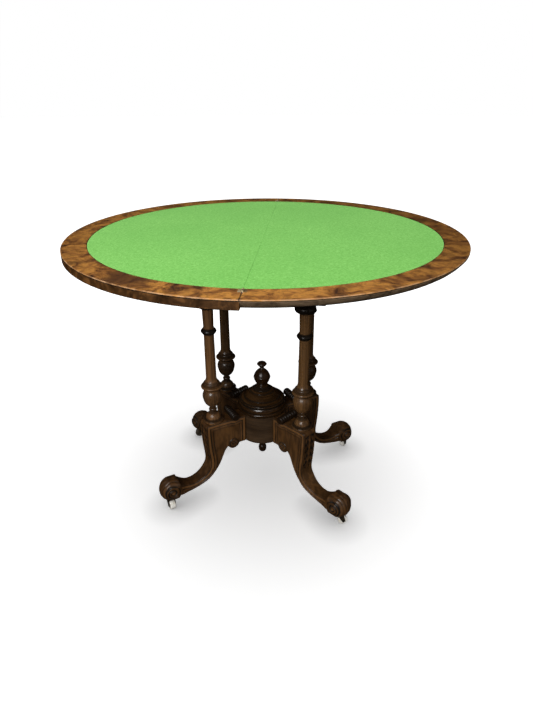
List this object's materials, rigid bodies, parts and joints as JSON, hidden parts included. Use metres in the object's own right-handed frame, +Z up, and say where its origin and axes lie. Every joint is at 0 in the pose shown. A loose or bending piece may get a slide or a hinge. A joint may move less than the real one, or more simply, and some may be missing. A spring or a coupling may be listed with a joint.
{
  "type": "fold-over card table",
  "caption": "Round card table shown open: baize top in two hinged half leaves that swivel on a base of turned columns, domed drum and carved cabriole legs on castors.",
  "frame": {"origin": "on the floor under the centre of the open round top", "axes": "+X from the seam towards the folding leaf, -Y to the front, +Z up"},
  "size_m": [0.9398, 0.94, 0.7323],
  "materials": {
    "walnut": "dark walnut, old polish",
    "burr_walnut": "figured burr veneer, polished",
    "baize": "bright green woven baize",
    "beech": "plain unpolished wood",
    "brass": "dulled brass",
    "steel": "plain steel",
    "ceramic": "white glazed ceramic"
  },
  "bodies": {
    "base": {"frieze_front_rail": "beech", "frieze_back_rail": "beech", "frieze_left_rail": "beech", "frieze_right_rail": "beech", "underboard": "beech", "underboard_screws": "steel", "corner_blocks": "beech", "pivot_board": "beech", "column_front_left": "walnut", "column_front_right": "walnut", "column_back_left": "walnut", "column_back_right": "walnut", "centre_drum": "walnut", "drum_dome": "walnut", "dome_finial": "walnut", "drum_drop": "walnut", "leg_front_left": "walnut", "leg_front_right": "walnut", "leg_back_left": "walnut", "leg_back_right": "walnut", "reeded_roll_front_left": "walnut", "reeded_roll_front_right": "walnut", "reeded_roll_back_left": "walnut", "reeded_roll_back_right": "walnut", "leg_dowels": "beech", "leg_rosettes": "walnut", "castor_cups": "brass", "castor_cup_screws": "steel"},
    "lower_leaf": {"lower_leaf": "walnut", "lower_leaf_banding": "burr_walnut", "lower_leaf_baize": "baize", "hinge_plates_lower_leaf": "brass", "hinge_screws_lower_leaf": "steel", "hinge_pins": "brass", "pivot_plate": "steel", "pivot_bolt": "steel", "pivot_washer": "steel", "pivot_nut": "steel", "pivot_plate_screws": "steel", "stop_block": "beech", "stop_block_screws": "steel"},
    "flap": {"flap_leaf": "walnut", "flap_banding": "burr_walnut", "flap_baize": "baize", "hinge_plates_flap": "brass", "hinge_screws_flap": "steel"},
    "castor_fork_front_left": {"castor_horn_front_left": "brass", "castor_axle_front_left": "brass"},
    "castor_roller_front_left": {"castor_wheel_front_left": "ceramic"},
    "castor_fork_front_right": {"castor_horn_front_right": "brass", "castor_axle_front_right": "brass"},
    "castor_roller_front_right": {"castor_wheel_front_right": "ceramic"},
    "castor_fork_back_left": {"castor_horn_back_left": "brass", "castor_axle_back_left": "brass"},
    "castor_roller_back_left": {"castor_wheel_back_left": "ceramic"},
    "castor_fork_back_right": {"castor_horn_back_right": "brass", "castor_axle_back_right": "brass"},
    "castor_roller_back_right": {"castor_wheel_back_right": "ceramic"}
  },
  "joints": [
    {"name": "top_swivel", "type": "hinge", "parent": "base", "child": "lower_leaf", "pos_m": [-0.1175, 0.1175, 0.7105], "axis": [0, 0, 1], "range_deg": [-3.1, 86.9]},
    {"name": "flap_fold", "type": "hinge", "parent": "lower_leaf", "child": "flap", "pos_m": [0, 0, 0.7303], "axis": [0, -1, 0], "range_deg": [0, 180]},
    {"name": "castor_swivel_front_left", "type": "hinge", "parent": "base", "child": "castor_fork_front_left", "pos_m": [-0.25267, -0.1609, 0.0296], "axis": [0, 0, 1], "continuous": true},
    {"name": "wheel_spin_front_left", "type": "hinge", "parent": "castor_fork_front_left", "child": "castor_roller_front_left", "pos_m": [-0.24713, -0.168, 0.0125], "axis": [0.788, 0.6157, 0], "continuous": true},
    {"name": "castor_swivel_front_right", "type": "hinge", "parent": "base", "child": "castor_fork_front_right", "pos_m": [0.21108, -0.18602, 0.0296], "axis": [0, 0, 1], "continuous": true},
    {"name": "wheel_spin_front_right", "type": "hinge", "parent": "castor_fork_front_right", "child": "castor_roller_front_right", "pos_m": [0.21954, -0.18294, 0.0125], "axis": [-0.342, 0.9397, 0], "continuous": true},
    {"name": "castor_swivel_back_left", "type": "hinge", "parent": "base", "child": "castor_fork_back_left", "pos_m": [-0.23388, 0.18602, 0.0296], "axis": [0, 0, 1], "continuous": true},
    {"name": "wheel_spin_back_left", "type": "hinge", "parent": "castor_fork_back_left", "child": "castor_roller_back_left", "pos_m": [-0.24284, 0.18524, 0.0125], "axis": [0.0872, -0.9962, 0], "continuous": true},
    {"name": "castor_swivel_back_right", "type": "hinge", "parent": "base", "child": "castor_fork_back_right", "pos_m": [0.22987, 0.1609, 0.0296], "axis": [0, 0, 1], "continuous": true},
    {"name": "wheel_spin_back_right", "type": "hinge", "parent": "castor_fork_back_right", "child": "castor_roller_back_right", "pos_m": [0.23437, 0.1687, 0.0125], "axis": [-0.866, 0.5, 0], "continuous": true}
  ]
}
